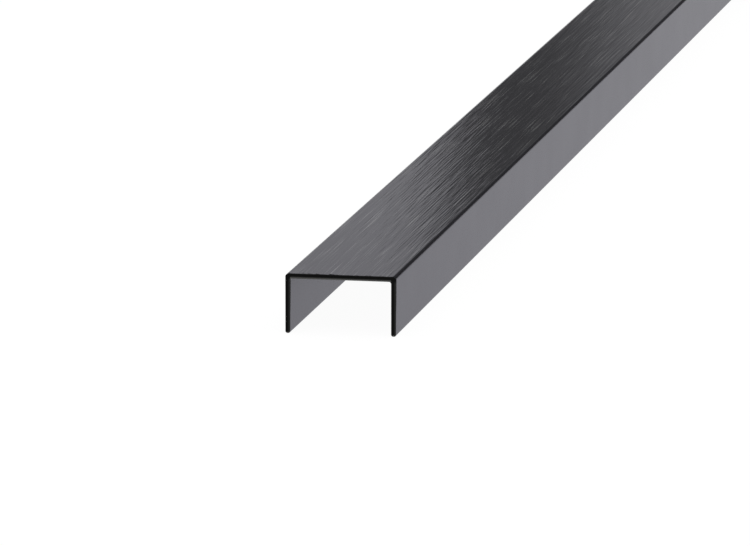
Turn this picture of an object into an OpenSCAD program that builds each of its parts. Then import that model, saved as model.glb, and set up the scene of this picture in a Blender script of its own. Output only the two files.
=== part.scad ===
// U-section extrusion profile: one web and two flanges, sawn to a stock length.
// The profile lies along Y on the free edges of its flanges, with the web on top.
// The origin is on the floor, under the middle of the profile.

/* [Section] */
// Outside width of the web, over both flanges
web_width = 33.5; // [12:0.5:60]
// Outside height of a flange, with the thickness of the web
flange_height = 18; // [8:0.5:40]
// Wall thickness of the web and of both flanges
wall = 1.5; // [1:0.1:3]

/* [Edges] */
// Outside radius where the web turns into a flange
corner_radius = 1; // [0.4:0.05:1.4]
// Fillet radius in the two inside corners of the channel
fillet_radius = 0.7; // [0.2:0.05:1.5]
// Flat land between the two radii of a flange's free edge
tip_land = 0.3; // [0.1:0.05:0.6]

/* [Stock] */
// Length that the stock is sawn to
stock_length = 1000; // [200:50:3000]
// Bevel that deburring leaves all round a sawn end
deburr = 0.15; // [0.05:0.05:0.3]

/* [Hidden] */
$fn = 48;

// Clear space between the flanges, and under the web
channel_width = web_width - 2 * wall;
channel_depth = flange_height - wall;
// The free edge of a flange is rounded on both sides of its land
tip_radius = (wall - tip_land) / 2;
// Height of the plain lower half of a flange, which stays clear of the fillets
flange_bar = channel_depth / 2;
// Length between the bevels of the two sawn ends
straight_length = stock_length - 2 * deburr;
// How far a cut runs on past the faces that it cuts, and lengths of one block into each other
overlap = 1;

// Section of a block: centred on X, flat at Y = 0, with its two upper corners rounded.
module block_section(width, height, radius) {
    translate([-width / 2, 0]) square([width, height - radius]);
    translate([radius - width / 2, 0]) square([width - 2 * radius, height]);
    for (side = [-1, 1])
        translate([side * (width / 2 - radius), height - radius]) circle(radius);
}

// End of such a block, from Z = 0 up: over its reach the sides and the top move out by grow.
module leaning_end(width, height, radius, reach, grow) {
    far_half_width = width / 2 + grow;
    // The two sides, up to the start of the rounded corners
    translate([0, height - radius, 0]) rotate([90, 0, 0]) linear_extrude(height - radius)
        polygon([[-width / 2, 0], [width / 2, 0], [far_half_width, reach], [-far_half_width, reach]]);
    // The top, between the rounded corners
    rotate([90, 0, 90]) linear_extrude(width - 2 * radius, center = true)
        polygon([[0, 0], [height, 0], [height + grow, reach], [0, reach]]);
    // The rounded corners, which become cones
    for (side = [-1, 1])
        translate([side * (width / 2 - radius), height - radius, 0])
            cylinder(h = reach, r1 = radius, r2 = radius + grow);
}

// The whole length of a block, with a leaning end on both sides.
module stock_block(width, height, radius, reach, grow) {
    linear_extrude(straight_length - overlap, center = true) block_section(width, height, radius);
    for (far_end = [0, 1])
        mirror([0, 0, far_end]) translate([0, 0, straight_length / 2]) {
            mirror([0, 0, 1]) linear_extrude(overlap) block_section(width, height, radius);
            leaning_end(width, height, radius, reach, grow);
        }
}

// The web with the upper halves of both flanges, round the filleted channel.
module crown() {
    difference() {
        translate([0, flange_bar, 0])
            stock_block(web_width, flange_height - flange_bar, corner_radius, deburr, -deburr);
        translate([0, flange_bar - overlap, 0])
            stock_block(channel_width, channel_depth - flange_bar + overlap, fillet_radius,
                        deburr + overlap, deburr + overlap);
    }
}

// The lower half of one flange, hanging from the crown with its rounded edge down.
module flange_edge() {
    translate([0, flange_bar, 0]) mirror([0, 1, 0])
        stock_block(wall, flange_bar, tip_radius, deburr, -deburr);
}

// The extrusion: crown and flanges are one solid, drawn along Z and then laid along Y.
module profile() {
    color([0.30, 0.30, 0.31]) rotate([90, 0, 0]) {
        crown();
        for (side = [-1, 1])
            translate([side * (web_width - wall) / 2, 0, 0]) flange_edge();
    }
}

profile();
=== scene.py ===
# %% [markdown]
# # A black anodised U-profile
#
# The object is one length of aluminium extrusion: a flat web with a flange along
# each edge, brushed on the web, sawn square and anodised black. Its section could be
# drawn again here and swept along a line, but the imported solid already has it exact.
# So this lesson leaves the shape alone and spends its effort on the finishes, on the
# light that shows them, and on the camera.

import bmesh
import bpy
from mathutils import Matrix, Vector


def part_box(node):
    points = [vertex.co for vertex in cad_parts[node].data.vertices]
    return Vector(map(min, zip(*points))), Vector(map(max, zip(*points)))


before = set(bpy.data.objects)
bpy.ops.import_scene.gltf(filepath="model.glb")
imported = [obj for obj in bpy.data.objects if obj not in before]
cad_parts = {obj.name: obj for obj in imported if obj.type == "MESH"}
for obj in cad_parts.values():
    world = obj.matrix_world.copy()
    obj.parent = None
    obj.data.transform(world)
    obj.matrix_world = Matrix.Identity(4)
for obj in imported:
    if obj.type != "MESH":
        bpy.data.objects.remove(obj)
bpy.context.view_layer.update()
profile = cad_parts["profile"]
print("Loaded", profile.name, "with", len(profile.data.polygons), "faces")

# %% [markdown]
# Three finishes meet on this one solid: the brushed web, the satin flanges and the
# sawn ends. They could be three materials on three sets of faces, but the solid came
# as one, so one material tells them apart by place. For that it needs the profile's
# size. The outside comes from its box, and two rays measure the channel.

# %% Measure the profile
MM = 0.001
high_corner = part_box("profile")[1]
half_width = high_corner.x
half_length = high_corner.y
height = high_corner.z

half_channel = profile.ray_cast((0, 0, height / 2), (1, 0, 0))[1].x
channel_depth = profile.ray_cast((0, 0, height / 2), (0, 0, 1))[1].z
print(f"Profile {2 * half_width / MM:.1f} x {2 * half_length / MM:.0f} x {height / MM:.1f} mm, "
      f"channel {2 * half_channel / MM:.1f} x {channel_depth / MM:.1f} mm")

# %% [markdown]
# A material is a graph of small nodes. Adding each one by hand takes three or four
# lines, so a few helpers add a node and wire it in one go, as the editor does when a
# node is dropped on a link.

# %% Helpers for node graphs
def node(tree, kind, **settings):
    """Adds a shader node with these settings."""
    made = tree.nodes.new("ShaderNode" + kind)
    for name, value in settings.items():
        setattr(made, name, value)
    return made


def feed(tree, socket, value):
    """Links an output to an input socket, or gives the socket a plain value."""
    if isinstance(value, bpy.types.NodeSocket):
        tree.links.new(value, socket)
    else:
        socket.default_value = value


def calc(tree, operation, *values):
    """One Math node on these values."""
    made = node(tree, "Math", operation=operation)
    for socket, value in zip(made.inputs, values):
        feed(tree, socket, value)
    return made.outputs[0]


def rise(tree, value, start, end, low=0.0, high=1.0):
    """Goes smoothly from low to high while value goes from start to end."""
    made = node(tree, "MapRange", interpolation_type="SMOOTHSTEP")
    values = {"Value": value, "From Min": start, "From Max": end, "To Min": low, "To Max": high}
    for name, number in values.items():
        feed(tree, made.inputs[name], number)
    return made.outputs["Result"]


def blend(tree, share, first, second):
    """Goes from the first number to the second as share goes from 0 to 1."""
    made = node(tree, "Mix", data_type="FLOAT")
    for number, value in ((0, share), (2, first), (3, second)):
        feed(tree, made.inputs[number], value)
    return made.outputs[0]


def blend_colour(tree, share, first, second):
    """The same for two colours."""
    made = node(tree, "Mix", data_type="RGBA")
    for number, value in ((0, share), (6, first), (7, second)):
        feed(tree, made.inputs[number], value)
    return made.outputs[2]


print("Helpers ready: node, feed, calc, rise, blend and blend_colour")

# %% [markdown]
# Brush and die both leave fine parallel lines: short hairs along the web, long lines
# along the flanges. A photographed texture could show them, but it repeats, and an
# anisotropic shader blurs the whole face and shows no single hair. Noise that is
# squeezed across and stretched along does neither. The group below makes such lines
# once, for any width and length, and each finish places it with its own values.

# %% A node group that draws parallel lines
lines_group = bpy.data.node_groups.new("Drawn lines", "ShaderNodeTree")
lines_group.interface.new_socket("Place", in_out="INPUT", socket_type="NodeSocketVector")
for socket_name in ("Width", "Length", "Seed"):
    lines_group.interface.new_socket(socket_name, in_out="INPUT", socket_type="NodeSocketFloat")
lines_group.interface.new_socket("Height", in_out="OUTPUT", socket_type="NodeSocketFloat")

lines_in = lines_group.nodes.new("NodeGroupInput")
lines_out = lines_group.nodes.new("NodeGroupOutput")
place = node(lines_group, "SeparateXYZ")
feed(lines_group, place.inputs[0], lines_in.outputs["Place"])
squeezed = node(lines_group, "CombineXYZ")
for axis, size in (("X", "Width"), ("Y", "Length"), ("Z", "Width")):
    share = calc(lines_group, "DIVIDE", place.outputs[axis], lines_in.outputs[size])
    feed(lines_group, squeezed.inputs[axis], share)
noise = node(lines_group, "TexNoise", noise_dimensions="4D")
feed(lines_group, noise.inputs["Vector"], squeezed.outputs[0])
feed(lines_group, noise.inputs["W"], lines_in.outputs["Seed"])
noise.inputs["Scale"].default_value = 1.0
noise.inputs["Detail"].default_value = 1.0
noise.inputs["Roughness"].default_value = 0.5
feed(lines_group, lines_out.inputs["Height"], noise.outputs["Fac"])
print("Made the group", lines_group.name)


def drawn_lines(tree, where, width, length, seed):
    """Places the group of parallel lines in a material."""
    made = node(tree, "Group", node_tree=lines_group)
    for name, value in (("Place", where), ("Width", width), ("Length", length), ("Seed", seed)):
        feed(tree, made.inputs[name], value)
    return made.outputs["Height"]

# %% [markdown]
# Black anodising is a thin dyed skin on bright metal. Seen head on it reflects
# almost nothing, and at a low angle almost everything, which is why the long faces
# look grey and the sawn end black. Black plastic does much the same, but its
# reflection at a low angle is always white. A metal with a very dark base colour
# lets that reflection have a tint of its own, so the finish is a metal. It starts
# here with the zones: how far a point is from the sawn end, and whether it lies on
# the web's outer face.

# %% Start the finish and find its zones
finish = bpy.data.materials.new("Black anodised")
finish.use_nodes = True
tree = finish.node_tree
shader = tree.nodes["Principled BSDF"]
spot = node(tree, "TexCoord").outputs["Object"]
axes = node(tree, "SeparateXYZ")
feed(tree, axes.inputs[0], spot)
across = axes.outputs["X"]
aside = calc(tree, "ABSOLUTE", across)
up = axes.outputs["Z"]
from_end = calc(tree, "SUBTRACT", half_length, calc(tree, "ABSOLUTE", axes.outputs["Y"]))

WEB_STARTS = 0.04 * MM
WEB_FULL = 0.005 * MM
on_web = rise(tree, up, height - WEB_STARTS, height - WEB_FULL)
print(f"The web's finish starts {WEB_STARTS / MM:.2f} mm below the top")

# %% [markdown]
# The brush drew hairs along the web, each about a hundredth of a millimetre deep,
# half a millimetre wide and some 25 mm long. Their sides tilt the reflection a
# little, so they show as streaks wherever the light behind them changes. A few hairs
# were rubbed smooth, and there the clear film over the dye mirrors by itself, as glass
# does: hardly from above, strongly at a low angle. Painting these hairs lighter would
# be simpler, but they would stay light from above too. So relief makes the first and
# a thin coat the second, and both come from the same group.

# %% Brushed web
BROAD_SHARE = 0.6
fine_hairs = drawn_lines(tree, spot, width=0.58 * MM, length=26 * MM, seed=3.0)
broad_hairs = drawn_lines(tree, spot, width=1.7 * MM, length=95 * MM, seed=7.0)
web_relief = calc(tree, "MULTIPLY_ADD", broad_hairs, BROAD_SHARE, fine_hairs)

rubbed_hairs = drawn_lines(tree, spot, width=0.36 * MM, length=48 * MM, seed=15.0)
web_coat = rise(tree, rubbed_hairs, 0.52, 0.82, low=0.0, high=0.95)
web_colour = (0.036, 0.036, 0.0375, 1.0)
web_roughness = 0.09
print("Brushed web drawn,", len(tree.nodes), "nodes so far")

# %% [markdown]
# The flanges and the inside of the channel are as the die left them: satin, with
# very faint lines that run the whole length. Handling and the etching bath leave
# soft clouds in the gloss. One plain colour and one roughness would come close, but
# such a face looks like plastic. So lines and clouds are both there, kept so weak
# that they do no more than prevent that.

# %% Satin flanges
DIE_LINE_SHARE = 0.1
die_lines = drawn_lines(tree, spot, width=0.9 * MM, length=700 * MM, seed=11.0)
flank_relief = calc(tree, "MULTIPLY", die_lines, DIE_LINE_SHARE)
dark_satin = (0.028, 0.028, 0.0295, 1.0)
light_satin = (0.034, 0.034, 0.0355, 1.0)
flank_colour = blend_colour(tree, die_lines, dark_satin, light_satin)

clouds = node(tree, "TexNoise")
feed(tree, clouds.inputs["Vector"], spot)
clouds.inputs["Scale"].default_value = 45.0
clouds.inputs["Detail"].default_value = 3.0
flank_roughness = rise(tree, clouds.outputs["Fac"], 0.3, 0.7, low=0.238, high=0.248)
print("Satin flanges drawn,", len(tree.nodes), "nodes so far")

# %% [markdown]
# The saw left two matt black ends. Its blade was far larger than the section, so its
# marks are shallow arcs about a centre below the profile. A Wave texture draws rings
# too, but all alike. Noise that depends only on the distance from that centre gives
# arcs of uneven strength, as real teeth do.

# %% Saw marks
BLADE_X = 50 * MM
BLADE_Z = -110 * MM
MARK_PITCH = 0.45 * MM
MARK_SHARE = 0.5
across_squared = calc(tree, "POWER", calc(tree, "SUBTRACT", across, BLADE_X), 2.0)
up_squared = calc(tree, "POWER", calc(tree, "SUBTRACT", up, BLADE_Z), 2.0)
from_blade = calc(tree, "SQRT", calc(tree, "ADD", across_squared, up_squared))

saw_noise = node(tree, "TexNoise", noise_dimensions="1D")
feed(tree, saw_noise.inputs["W"], calc(tree, "DIVIDE", from_blade, MARK_PITCH))
saw_noise.inputs["Detail"].default_value = 2.0
saw_marks = saw_noise.outputs["Fac"]
end_relief = calc(tree, "MULTIPLY", saw_marks, MARK_SHARE)
dark_cut = (0.004, 0.004, 0.004, 1.0)
light_cut = (0.012, 0.012, 0.0115, 1.0)
sawn_colour = blend_colour(tree, saw_marks, dark_cut, light_cut)
end_roughness = 0.6
print(f"Saw marks run round a point {-BLADE_Z / MM:.0f} mm below the floor")

# %% [markdown]
# Below the web, and below and to the right of each flange, the rims of the cut are
# painted lighter: a painted reflection of the white floor and of the light from the
# right, which those small rounded edges would mirror. These rims could be faces of
# their own, but on the real end they fade into the cut. So they are worked out from
# the distance to the section's outline, and fade over a fraction of the wall.

# %% Painted reflection on the rims of the cut
RIM = 0.75 * MM
RIM_EDGE = 0.1 * MM
SIDE_SHARE = 0.18
LOWER_SHARE = 0.65
# Painted reflection of the floor on the rim under the web.
below_web = calc(tree, "MULTIPLY", rise(tree, up, channel_depth + RIM, channel_depth),
                 rise(tree, aside, half_channel + RIM_EDGE, half_channel - RIM_EDGE))

on_right = calc(tree, "GREATER_THAN", across, 0.0)
right_face = blend(tree, on_right, -half_channel, half_width)
from_right = calc(tree, "SUBTRACT", right_face, across)
under_corner = rise(tree, up, channel_depth + 0.3 * MM, channel_depth - 0.5 * MM)
# Painted reflection of the light from the right on each flange's right-hand rim, and of the floor, lighter
# towards the bottom.
beside_flange = calc(tree, "MULTIPLY", rise(tree, from_right, RIM, RIM_EDGE), under_corner)
below_flange = rise(tree, up, 0.5 * MM, 0.2 * MM, low=0.0, high=LOWER_SHARE)

painted_rim_reflection = calc(tree, "MULTIPLY_ADD", beside_flange, SIDE_SHARE, calc(tree, "ADD", below_web, below_flange))
# The rims' lighter colour is a painted reflection, not a colour of the metal.
painted_reflection_colour = (0.125, 0.125, 0.12, 1.0)
end_colour = blend_colour(tree, painted_rim_reflection, sawn_colour, painted_reflection_colour)
print(f"Painted reflection on rims up to {RIM / MM:.2f} mm wide")

# %% [markdown]
# Where the blade went in, along the web, the edge has small dark chips. On the
# flanges the black of the cut reaches further up towards the web: painted shade,
# darker high on each flange's edge than low down, where the floor is mirrored. Chips
# could be cut out of the mesh, but they are so shallow that only their colour shows.
# So the solid stays whole, and the border between the finishes moves: the end's black
# reaches over the edge by an uneven amount.

# %% Chipped edges of the cut, and painted shade on the flanges' edges
SHORT_CHIP = 0.5 * MM
LONG_CHIP = 1.8 * MM
chips = node(tree, "TexNoise")
feed(tree, chips.inputs["Vector"], spot)
chips.inputs["Scale"].default_value = 700.0
web_reach = rise(tree, chips.outputs["Fac"], 0.50, 0.68, low=SHORT_CHIP, high=LONG_CHIP)
# Painted shade: the cut's black reaches further over each flange's edge towards the web.
flange_shade_reach = rise(tree, up, 2 * MM, 14 * MM, low=0.1 * MM, high=0.9 * MM)
chip_and_shade_reach = blend(tree, on_web, flange_shade_reach, web_reach)

CHIP_BORDER = 0.03 * MM
# The end's zone takes in the real chips and this painted shade.
on_end = rise(tree, calc(tree, "SUBTRACT", from_end, chip_and_shade_reach), CHIP_BORDER, -CHIP_BORDER)
print(f"Chips from {SHORT_CHIP / MM:.1f} to {LONG_CHIP / MM:.1f} mm long")

# %% [markdown]
# The zones now come together. Three shaders could be mixed, one for each finish, but
# it is the same skin everywhere, so one shader gets mixed values. Relief goes through
# a Bump node, which tilts the normal and leaves the exact solid as it is. A plain mix
# by zone picks colour, roughness and coat. Whatever is the same all over, the metal
# and its tint at a low angle, is set on the shader itself.

# %% Join the zones in one material
RELIEF_HEIGHT = 0.0195 * MM
relief = blend(tree, on_end, blend(tree, on_web, flank_relief, web_relief), end_relief)
bump = node(tree, "Bump")
bump.inputs["Strength"].default_value = 1.0
bump.inputs["Distance"].default_value = RELIEF_HEIGHT
feed(tree, bump.inputs["Height"], relief)
feed(tree, shader.inputs["Normal"], bump.outputs["Normal"])

skin_colour = blend_colour(tree, on_web, flank_colour, web_colour)
feed(tree, shader.inputs["Base Color"], blend_colour(tree, on_end, skin_colour, end_colour))
skin_roughness = blend(tree, on_web, flank_roughness, web_roughness)
feed(tree, shader.inputs["Roughness"], blend(tree, on_end, skin_roughness, end_roughness))
skin_coat = calc(tree, "MULTIPLY", on_web, web_coat)
feed(tree, shader.inputs["Coat Weight"], blend(tree, on_end, skin_coat, 0.0))
shader.inputs["Coat Roughness"].default_value = 0.21
shader.inputs["Metallic"].default_value = 1.0
shader.inputs["Specular Tint"].default_value = (0.668, 0.663, 0.707, 1.0)

profile.material_slots[0].material = finish
print("Finish", finish.name, "with", len(tree.nodes), "nodes")

# %% [markdown]
# The camera looks along the profile from the right and a little above, through a long
# lens, so the edges hardly run together. Its place was found by fitting the straight
# edges of the profile. It is set as a point to stand at and a point to look at, which
# is easier to read than three angles.

# %% Camera
camera_data = bpy.data.cameras.new("Camera")
camera_data.sensor_width = 36.0
camera_data.lens = 357.54
camera_data.clip_end = 500.0
camera = bpy.data.objects.new("Camera", camera_data)
scene = bpy.context.scene
scene.collection.objects.link(camera)
scene.camera = camera

CAMERA_AT = Vector((0.42176, -2.63090, 0.42122))
LOOK_AT = Vector((0.00932, -0.49429, height))
sight = LOOK_AT - CAMERA_AT
camera.location = CAMERA_AT
camera.rotation_mode = "QUATERNION"
camera.rotation_quaternion = sight.to_track_quat("-Z", "Y")
print(f"Camera {sight.length:.2f} m from the web's front end")

# %% [markdown]
# The floor is one large flat sheet. A studio would rather curve it up behind the
# object, but the flanges mirror their floor, and a flat one gives them an even grey
# from every side. It belongs to the stage and not to the object.

# %% Floor
FLOOR_HALF = 80.0
sheet = bmesh.new()
bmesh.ops.create_grid(sheet, x_segments=1, y_segments=1, size=FLOOR_HALF)
floor_data = bpy.data.meshes.new("Floor")
sheet.to_mesh(floor_data)
sheet.free()
floor = bpy.data.objects.new("Floor", floor_data)
scene.collection.objects.link(floor)
print(f"Floor {2 * FLOOR_HALF:.0f} m wide")

# %% [markdown]
# The floor's paint is white. A sheet lit by lamps never comes out evenly white, so for
# the eye and for mirror images it glows by itself at a strength of 1, and for all other
# light it is plain matt white. A small part of the matt look stays in the picture,
# because it carries the profile's soft shadow.

# %% White paint for the floor
floor_paint = bpy.data.materials.new("White floor")
floor_paint.use_nodes = True
floor_tree = floor_paint.node_tree
floor_tree.nodes.remove(floor_tree.nodes["Principled BSDF"])
matt = node(floor_tree, "BsdfDiffuse")
matt.inputs["Color"].default_value = (0.9, 0.9, 0.9, 1.0)
glow = node(floor_tree, "Emission")

GLOW_SHARE = 0.96
ray = node(floor_tree, "LightPath").outputs
seen = calc(floor_tree, "MAXIMUM", ray["Is Camera Ray"], ray["Is Glossy Ray"])
seen = calc(floor_tree, "MAXIMUM", seen, ray["Is Transmission Ray"])
both = node(floor_tree, "MixShader")
feed(floor_tree, both.inputs[0], calc(floor_tree, "MULTIPLY", seen, GLOW_SHARE))
feed(floor_tree, both.inputs[1], matt.outputs[0])
feed(floor_tree, both.inputs[2], glow.outputs[0])
feed(floor_tree, floor_tree.nodes["Material Output"].inputs["Surface"], both.outputs[0])
floor_data.materials.append(floor_paint)
print(f"Floor paint that glows for {GLOW_SHARE:.0%} of what is seen")

# %% [markdown]
# A dark metal shows little but the room around it. Lamps could make that room, but
# here the edges of the light count most, and a lamp's edge moves with its distance.
# So the studio is drawn straight into the world, by direction. Azimuth counts from +Y,
# negative to the left, and is in degrees, as the elevation is.

# %% Directions in the studio
studio = bpy.data.worlds.new("Studio")
studio.use_nodes = True
scene.world = studio
sky = studio.node_tree
toward = node(sky, "SeparateXYZ")
feed(sky, toward.inputs[0], node(sky, "TexCoord").outputs["Generated"])
azimuth = calc(sky, "DEGREES", calc(sky, "ARCTAN2", toward.outputs["X"], toward.outputs["Y"]))
elevation = calc(sky, "DEGREES", calc(sky, "ARCSINE", toward.outputs["Z"]))
print("World", studio.name, "knows azimuth and elevation")

# %% [markdown]
# The studio has a soft ceiling that lights everything, a dim wall, two light panels at
# the left and one at the right. The web mirrors the left ones at a low angle. The dark
# gap between them is the dark stretch in the middle of the web, and the dark wall
# behind is the thin black line along the rounded corner. The right panel does the same
# for a look from the left. One large soft light would be simpler, but it makes the web
# one even grey and hides the brushing.

# %% Studio light
def panel(level, left, right, top):
    """A light panel between two soft sides and below a soft top; each edge goes from dark to light."""
    sides = calc(sky, "MULTIPLY", rise(sky, azimuth, *left), rise(sky, azimuth, *right))
    return calc(sky, "MULTIPLY", calc(sky, "MULTIPLY", sides, rise(sky, elevation, *top)), level)


large_panel = panel(level=0.518, left=(-90.0, -70.0), right=(-10.23, -10.62), top=(35.0, 25.0))
narrow_panel = panel(level=0.297, left=(-9.69, -8.46), right=(-6.61, -7.33), top=(14.0, 12.0))
right_panel = panel(level=0.45, left=(17.0, 29.0), right=(90.0, 70.0), top=(35.0, 25.0))
panels = calc(sky, "ADD", calc(sky, "ADD", large_panel, narrow_panel), right_panel)

CEILING_LEVEL = 1.35
ceiling = calc(sky, "MULTIPLY", rise(sky, elevation, 16.0, 44.0), CEILING_LEVEL)
wall = rise(sky, calc(sky, "ABSOLUTE", azimuth), 35.0, 75.0, low=0.119, high=0.5)
light = calc(sky, "ADD", panels, calc(sky, "ADD", ceiling, wall))
feed(sky, sky.nodes["Background"].inputs["Color"], light)
print("World", studio.name, "with", len(sky.nodes), "nodes")

# %% [markdown]
# The picture is shown as it is calculated, with the Standard transform.

# %% Finish
scene.view_settings.view_transform = "Standard"
